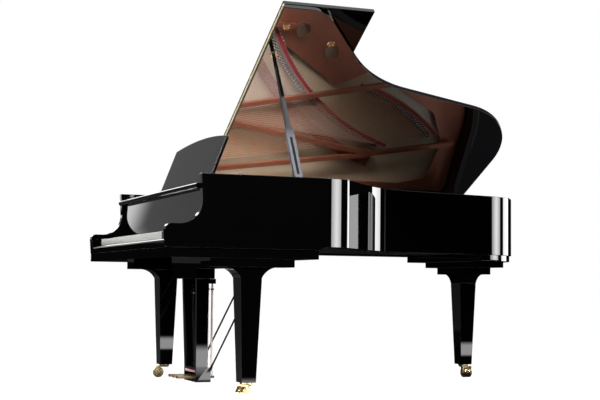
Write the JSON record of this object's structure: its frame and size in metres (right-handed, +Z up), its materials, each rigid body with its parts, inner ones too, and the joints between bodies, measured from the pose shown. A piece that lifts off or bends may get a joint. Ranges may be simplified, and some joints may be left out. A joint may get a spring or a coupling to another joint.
{
  "type": "grand piano",
  "caption": "Grand piano on three caster legs, lid open on its prop with the front flap folded back, music desk up, keys showing and a pedal lyre below.",
  "frame": {"origin": "on the floor under the middle of the case, on the keyboard's centre line", "axes": "+Y from the keyboard to the tail, +X to the treble side, +Z up"},
  "size_m": [1.5751, 2.2842, 1.863],
  "materials": {
    "black_polish": "black lacquer, polished to a mirror",
    "dark_trim": "satin black",
    "case_wood": "plain, sealed",
    "soundboard_spruce": "clear varnish",
    "bridge_maple": "varnished",
    "plate_bronze": "bronze paint, satin",
    "steel": "bright",
    "copper_winding": "copper winding",
    "brass": "polished",
    "black_metal": "satin black paint",
    "white_keys": "polished",
    "black_keys": "satin",
    "hammer_felt": "felt",
    "damper_black": "satin black",
    "buffer_rubber": "matt"
  },
  "bodies": {
    "case": {"outer_rim": "black_polish", "inner_rim": "dark_trim", "belly_rail": "case_wood", "back_posts": "case_wood", "soundboard": "soundboard_spruce", "soundboard_ribs": "case_wood", "keybed": "black_polish", "bridges": "bridge_maple", "pin_block": "case_wood", "plate": "plate_bronze", "tuning_pins": "steel", "agraffes": "brass", "bass_strings": "copper_winding", "treble_strings": "steel", "key_slip": "black_polish", "key_blocks": "black_polish", "desk_runners": "black_polish", "lid_buffers": "buffer_rubber", "spine_hinges": "brass", "prop_bracket": "brass", "leg_bass": "black_polish", "leg_treble": "black_polish", "leg_tail": "black_polish", "caster_sockets": "brass", "lyre": "black_polish", "lyre_braces": "black_metal"},
    "lid": {"lid": "black_polish", "lid_fittings": "brass", "flap_hinge": "brass"},
    "flap": {"lid_flap": "black_polish"},
    "prop": {"lid_prop": "black_polish"},
    "half_prop": {"half_prop": "black_polish"},
    "fallboard": {"fallboard": "black_polish"},
    "desk_tray": {"desk_tray": "black_polish"},
    "music_desk": {"music_desk": "black_polish"},
    "desk_stay": {"desk_stay": "black_polish"},
    "action": {"key_frame": "case_wood", "hammer_rail": "steel"},
    "hammers": {"hammers": "hammer_felt"},
    "dampers": {"dampers": "damper_black"},
    "keys_c": {"keys_c": "white_keys"},
    "keys_d": {"keys_d": "white_keys"},
    "keys_e": {"keys_e": "white_keys"},
    "keys_f": {"keys_f": "white_keys"},
    "keys_g": {"keys_g": "white_keys"},
    "keys_a": {"keys_a": "white_keys"},
    "keys_b": {"keys_b": "white_keys"},
    "keys_sharp": {"keys_sharp": "black_keys"},
    "pedal_soft": {"pedal_soft": "brass"},
    "rod_soft": {"pedal_rod_soft": "steel"},
    "pedal_sostenuto": {"pedal_sostenuto": "brass"},
    "rod_sostenuto": {"pedal_rod_sostenuto": "steel"},
    "pedal_damper": {"pedal_damper": "brass"},
    "rod_damper": {"pedal_rod_damper": "steel"},
    "fork_bass": {"caster_fork_bass": "brass"},
    "wheels_bass": {"caster_wheels_bass": "brass"},
    "fork_treble": {"caster_fork_treble": "brass"},
    "wheels_treble": {"caster_wheels_treble": "brass"},
    "fork_tail": {"caster_fork_tail": "brass"},
    "wheels_tail": {"caster_wheels_tail": "brass"}
  },
  "joints": [
    {"name": "lid_open", "type": "hinge", "parent": "case", "child": "lid", "pos_m": [-0.775, 0, 1.004], "axis": [0, -1, 0], "range_deg": [-31.7, 0]},
    {"name": "flap_fold", "type": "hinge", "parent": "lid", "child": "flap", "pos_m": [-0.12981, -0.513, 1.43421], "axis": [-0.8508, 0, -0.5255], "range_deg": [-180, 0]},
    {"name": "prop_swing", "type": "hinge", "parent": "case", "child": "prop", "pos_m": [0.7, -0.488, 0.975], "axis": [-0.7905, 0.4509, 0.4145], "range_deg": [-102.68, 0.05]},
    {"name": "half_prop_swing", "type": "hinge", "parent": "prop", "child": "half_prop", "pos_m": [0.66634, -0.48615, 1.02704], "axis": [0.0088, 0.9995, -0.0299], "range_deg": [0, 35]},
    {"name": "fallboard_close", "type": "hinge", "parent": "case", "child": "fallboard", "pos_m": [0, -0.95, 0.768], "axis": [-1, 0, 0], "range_deg": [-90, 0]},
    {"name": "tray_slide", "type": "slide", "parent": "case", "child": "desk_tray", "axis": [0, 1, 0], "range_m": [0, 0.055]},
    {"name": "desk_tilt", "type": "hinge", "parent": "desk_tray", "child": "music_desk", "pos_m": [0, -0.8345, 0.991], "axis": [1, 0, 0], "range_deg": [-68.8, 0]},
    {"name": "stay_fold", "type": "hinge", "parent": "music_desk", "child": "desk_stay", "pos_m": [0, -0.78622, 1.07953], "axis": [1, 0, 0], "range_deg": [-0.1, 128.9]},
    {"name": "action_shift", "type": "slide", "parent": "case", "child": "action", "axis": [1, 0, 0], "range_m": [0, 0.0021]},
    {"name": "hammers_strike", "type": "hinge", "parent": "action", "child": "hammers", "pos_m": [0, -0.805, 0.8], "axis": [1, 0, 0], "range_deg": [0, 28.5]},
    {"name": "dampers_lift", "type": "slide", "parent": "case", "child": "dampers", "axis": [0, 0, 1], "range_m": [0, 0.0062]},
    {"name": "press_c", "type": "hinge", "parent": "action", "child": "keys_c", "pos_m": [0, -0.9, 0.71], "axis": [1, 0, 0], "range_deg": [0, 2.6], "stiffness_Nm_per_rad": 20, "springref_deg": -3.44},
    {"name": "press_d", "type": "hinge", "parent": "action", "child": "keys_d", "pos_m": [0, -0.9, 0.71], "axis": [1, 0, 0], "range_deg": [0, 2.6], "stiffness_Nm_per_rad": 20, "springref_deg": -3.44},
    {"name": "press_e", "type": "hinge", "parent": "action", "child": "keys_e", "pos_m": [0, -0.9, 0.71], "axis": [1, 0, 0], "range_deg": [0, 2.6], "stiffness_Nm_per_rad": 20, "springref_deg": -3.44},
    {"name": "press_f", "type": "hinge", "parent": "action", "child": "keys_f", "pos_m": [0, -0.9, 0.71], "axis": [1, 0, 0], "range_deg": [0, 2.6], "stiffness_Nm_per_rad": 20, "springref_deg": -3.44},
    {"name": "press_g", "type": "hinge", "parent": "action", "child": "keys_g", "pos_m": [0, -0.9, 0.71], "axis": [1, 0, 0], "range_deg": [0, 2.6], "stiffness_Nm_per_rad": 20, "springref_deg": -3.44},
    {"name": "press_a", "type": "hinge", "parent": "action", "child": "keys_a", "pos_m": [0, -0.9, 0.71], "axis": [1, 0, 0], "range_deg": [0, 2.6], "stiffness_Nm_per_rad": 20, "springref_deg": -3.44},
    {"name": "press_b", "type": "hinge", "parent": "action", "child": "keys_b", "pos_m": [0, -0.9, 0.71], "axis": [1, 0, 0], "range_deg": [0, 2.6], "stiffness_Nm_per_rad": 20, "springref_deg": -3.44},
    {"name": "press_sharp", "type": "hinge", "parent": "action", "child": "keys_sharp", "pos_m": [0, -0.9, 0.71], "axis": [1, 0, 0], "range_deg": [0, 2.6], "stiffness_Nm_per_rad": 20, "springref_deg": -3.44},
    {"name": "pedal_soft_press", "type": "hinge", "parent": "case", "child": "pedal_soft", "pos_m": [-0.07, -0.76, 0.054], "axis": [1, 0, 0], "range_deg": [0, 5], "stiffness_Nm_per_rad": 30, "springref_deg": -5.73},
    {"name": "rod_soft_lift", "type": "slide", "parent": "case", "child": "rod_soft", "axis": [0, 0, 1], "range_m": [0, 0.0062]},
    {"name": "pedal_sostenuto_press", "type": "hinge", "parent": "case", "child": "pedal_sostenuto", "pos_m": [0, -0.76, 0.054], "axis": [1, 0, 0], "range_deg": [0, 5], "stiffness_Nm_per_rad": 30, "springref_deg": -5.73},
    {"name": "rod_sostenuto_lift", "type": "slide", "parent": "case", "child": "rod_sostenuto", "axis": [0, 0, 1], "range_m": [0, 0.0062]},
    {"name": "pedal_damper_press", "type": "hinge", "parent": "case", "child": "pedal_damper", "pos_m": [0.07, -0.76, 0.054], "axis": [1, 0, 0], "range_deg": [0, 5], "stiffness_Nm_per_rad": 30, "springref_deg": -5.73},
    {"name": "rod_damper_lift", "type": "slide", "parent": "case", "child": "rod_damper", "axis": [0, 0, 1], "range_m": [0, 0.0062]},
    {"name": "swivel_bass", "type": "hinge", "parent": "case", "child": "fork_bass", "pos_m": [-0.69, -0.732, 0.06], "axis": [0, 0, 1], "continuous": true},
    {"name": "roll_bass", "type": "hinge", "parent": "fork_bass", "child": "wheels_bass", "pos_m": [-0.69989, -0.76243, 0.028], "axis": [0.9511, -0.309, 0], "continuous": true},
    {"name": "swivel_treble", "type": "hinge", "parent": "case", "child": "fork_treble", "pos_m": [0.69, -0.732, 0.06], "axis": [0, 0, 1], "continuous": true},
    {"name": "roll_treble", "type": "hinge", "parent": "fork_treble", "child": "wheels_treble", "pos_m": [0.71141, -0.75578, 0.028], "axis": [0.7431, 0.6691, 0], "continuous": true},
    {"name": "swivel_tail", "type": "hinge", "parent": "case", "child": "fork_tail", "pos_m": [-0.355, 0.935, 0.06], "axis": [0, 0, 1], "continuous": true},
    {"name": "roll_tail", "type": "hinge", "parent": "fork_tail", "child": "wheels_tail", "pos_m": [-0.32312, 0.93779, 0.028], "axis": [-0.0872, 0.9962, 0], "continuous": true}
  ],
  "couplings": [
    {"joint": "prop_swing", "follows": "lid_open", "ratio": 3.2375},
    {"joint": "stay_fold", "follows": "desk_tilt", "ratio": -1.8721},
    {"joint": "rod_soft_lift", "follows": "pedal_soft_press", "m_per_rad": 0.065},
    {"joint": "rod_sostenuto_lift", "follows": "pedal_sostenuto_press", "m_per_rad": 0.065},
    {"joint": "rod_damper_lift", "follows": "pedal_damper_press", "m_per_rad": 0.065},
    {"joint": "dampers_lift", "follows": "pedal_damper_press", "m_per_rad": 0.0687},
    {"joint": "action_shift", "follows": "pedal_soft_press", "m_per_rad": 0.0229}
  ]
}
